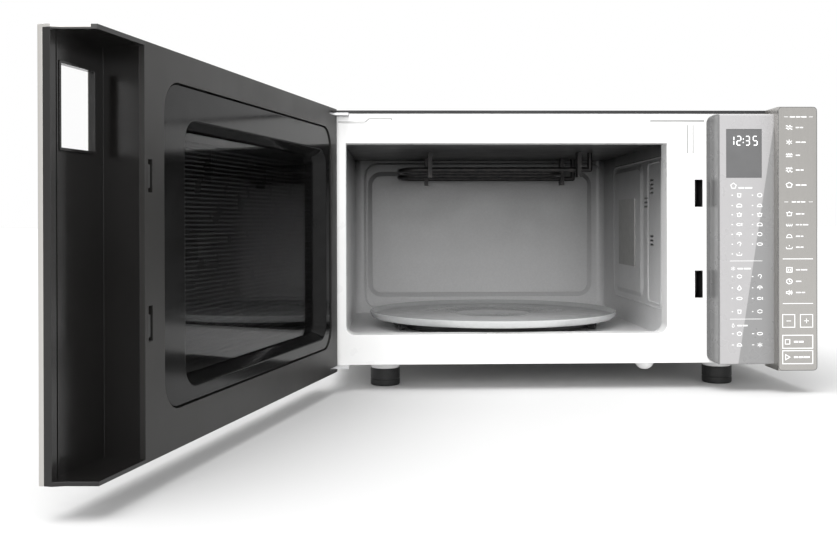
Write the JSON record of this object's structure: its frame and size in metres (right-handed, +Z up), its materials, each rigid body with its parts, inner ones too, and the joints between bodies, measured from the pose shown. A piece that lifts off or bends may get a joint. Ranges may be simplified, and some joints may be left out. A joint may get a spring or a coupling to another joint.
{
  "type": "microwave oven",
  "caption": "Free-standing microwave oven with grill, glass turntable, side-hinged mirror door whose end pocket covers the control panel, and a touch strip.",
  "frame": {"origin": "centre of the cabinet's 539 x 400 mm footprint, on the plane its feet stand on", "axes": "+Z up, the front frame and door face -Y, the door hinges at -X and opens away from -Y towards -X"},
  "size_m": [0.687, 0.8877, 0.3134],
  "materials": {
    "black_enamel": "fine black texture paint",
    "black_plastic": "moulded, satin",
    "black_screen": "black enamel, perforated",
    "board_green": "solder resist",
    "cavity_steel": "satin grey enamel",
    "ceramic_white": "matt",
    "charcoal_plastic": "moulded, satin",
    "clear_bulb": "clear",
    "copper_wire": "varnished copper winding",
    "dark_glass": "smoked, polished",
    "element_sheath": "oxidised sheath",
    "foot_rubber": "matt",
    "front_glass": "polished, lightly tinted",
    "grey_plastic": "moulded, satin",
    "lamp_white": "moulded, satin",
    "mica": "pressed mica, matt",
    "plate_glass": "pressed clear glass",
    "silver_glass": "silver mirror print",
    "silver_plastic": "silver lacquer on plastic",
    "smoked_lens": "smoked, polished",
    "wheel_plastic": "moulded",
    "white_enamel": "smooth white enamel",
    "zinc_steel": "zinc plated"
  },
  "bodies": {
    "cabinet": {"front_frame": "white_enamel", "cavity_liner": "cavity_steel", "cabinet_cover": "black_enamel", "rear_panel": "zinc_steel", "base_plate": "white_enamel", "feet": "foot_rubber", "hinge_top": "zinc_steel", "hinge_bottom": "zinc_steel", "hinge_screws": "zinc_steel", "case_screws": "zinc_steel", "waveguide_cover": "mica", "grill_element": "element_sheath", "grill_clips": "element_sheath", "grill_insulators": "ceramic_white", "waveguide": "zinc_steel", "magnetron": "zinc_steel", "transformer_core": "zinc_steel", "transformer_coils": "copper_wire", "capacitor": "zinc_steel", "capacitor_clamp": "zinc_steel", "fan_shroud": "black_plastic", "fan_motor": "zinc_steel", "lamp_holder": "lamp_white", "oven_lamp": "clear_bulb", "thermal_cutout": "black_plastic", "mains_inlet": "black_plastic", "filter_board": "board_green", "turntable_motor": "zinc_steel", "latch_board": "black_plastic", "door_switches": "black_plastic", "control_panel": "silver_plastic", "display_window": "smoked_lens", "display_module": "board_green", "control_board": "board_green", "strip_housing": "silver_plastic", "touch_glass": "silver_glass", "touch_board": "board_green"},
    "door": {"door_trim": "silver_plastic", "door_glass": "front_glass", "door_mask": "silver_glass", "door_body": "charcoal_plastic", "choke_cover": "grey_plastic", "door_screen": "black_screen", "inner_glass": "dark_glass"},
    "latch": {"latch_bar": "black_plastic"},
    "lever_upper": {"switch_lever_upper": "black_plastic"},
    "lever_lower": {"switch_lever_lower": "black_plastic"},
    "drive": {"drive_coupling": "black_plastic"},
    "plate": {"turntable_plate": "plate_glass"},
    "ring": {"roller_ring": "black_plastic"},
    "wheel_one": {"wheel_a": "wheel_plastic"},
    "wheel_two": {"wheel_b": "wheel_plastic"},
    "wheel_three": {"wheel_c": "wheel_plastic"},
    "fan": {"fan_blade": "black_plastic"}
  },
  "joints": [
    {"name": "door_hinge", "type": "hinge", "parent": "cabinet", "child": "door", "pos_m": [-0.2642, -0.2096, 0.168], "axis": [0, 0, 1], "range_deg": [0, 104.9]},
    {"name": "latch_slide", "type": "slide", "parent": "door", "child": "latch", "axis": [0.9664, -0.2571, 0], "range_m": [0, 0.021], "stiffness_N_per_m": 120},
    {"name": "switch_upper", "type": "hinge", "parent": "cabinet", "child": "lever_upper", "pos_m": [0.151, -0.178, 0.239], "axis": [1, 0, 0], "range_deg": [0, 8], "stiffness_Nm_per_rad": 0.02},
    {"name": "switch_lower", "type": "hinge", "parent": "cabinet", "child": "lever_lower", "pos_m": [0.151, -0.178, 0.1365], "axis": [1, 0, 0], "range_deg": [0, 8], "stiffness_Nm_per_rad": 0.02},
    {"name": "drive_spin", "type": "hinge", "parent": "cabinet", "child": "drive", "pos_m": [-0.0656, -0.0325, 0.06], "axis": [0, 0, 1], "continuous": true},
    {"name": "plate_lift", "type": "slide", "parent": "drive", "child": "plate", "axis": [0, 0, 1], "range_m": [0, 0.04]},
    {"name": "ring_spin", "type": "hinge", "parent": "cabinet", "child": "ring", "pos_m": [-0.0656, -0.0325, 0.062], "axis": [0, 0, 1], "continuous": true},
    {"name": "wheel_one_roll", "type": "hinge", "parent": "ring", "child": "wheel_one", "pos_m": [-0.0656, 0.1015, 0.062], "axis": [0, 1, 0], "continuous": true},
    {"name": "wheel_two_roll", "type": "hinge", "parent": "ring", "child": "wheel_two", "pos_m": [-0.18165, -0.0995, 0.062], "axis": [-0.866, -0.5, 0], "continuous": true},
    {"name": "wheel_three_roll", "type": "hinge", "parent": "ring", "child": "wheel_three", "pos_m": [0.05045, -0.0995, 0.062], "axis": [0.866, -0.5, 0], "continuous": true},
    {"name": "fan_spin", "type": "hinge", "parent": "cabinet", "child": "fan", "pos_m": [0.19, 0.16, 0.236], "axis": [0, 1, 0], "continuous": true}
  ],
  "couplings": [
    {"joint": "ring_spin", "follows": "drive_spin", "ratio": 0.5},
    {"joint": "wheel_one_roll", "follows": "drive_spin", "ratio": -13.535},
    {"joint": "wheel_two_roll", "follows": "drive_spin", "ratio": -13.535},
    {"joint": "wheel_three_roll", "follows": "drive_spin", "ratio": -13.535}
  ]
}
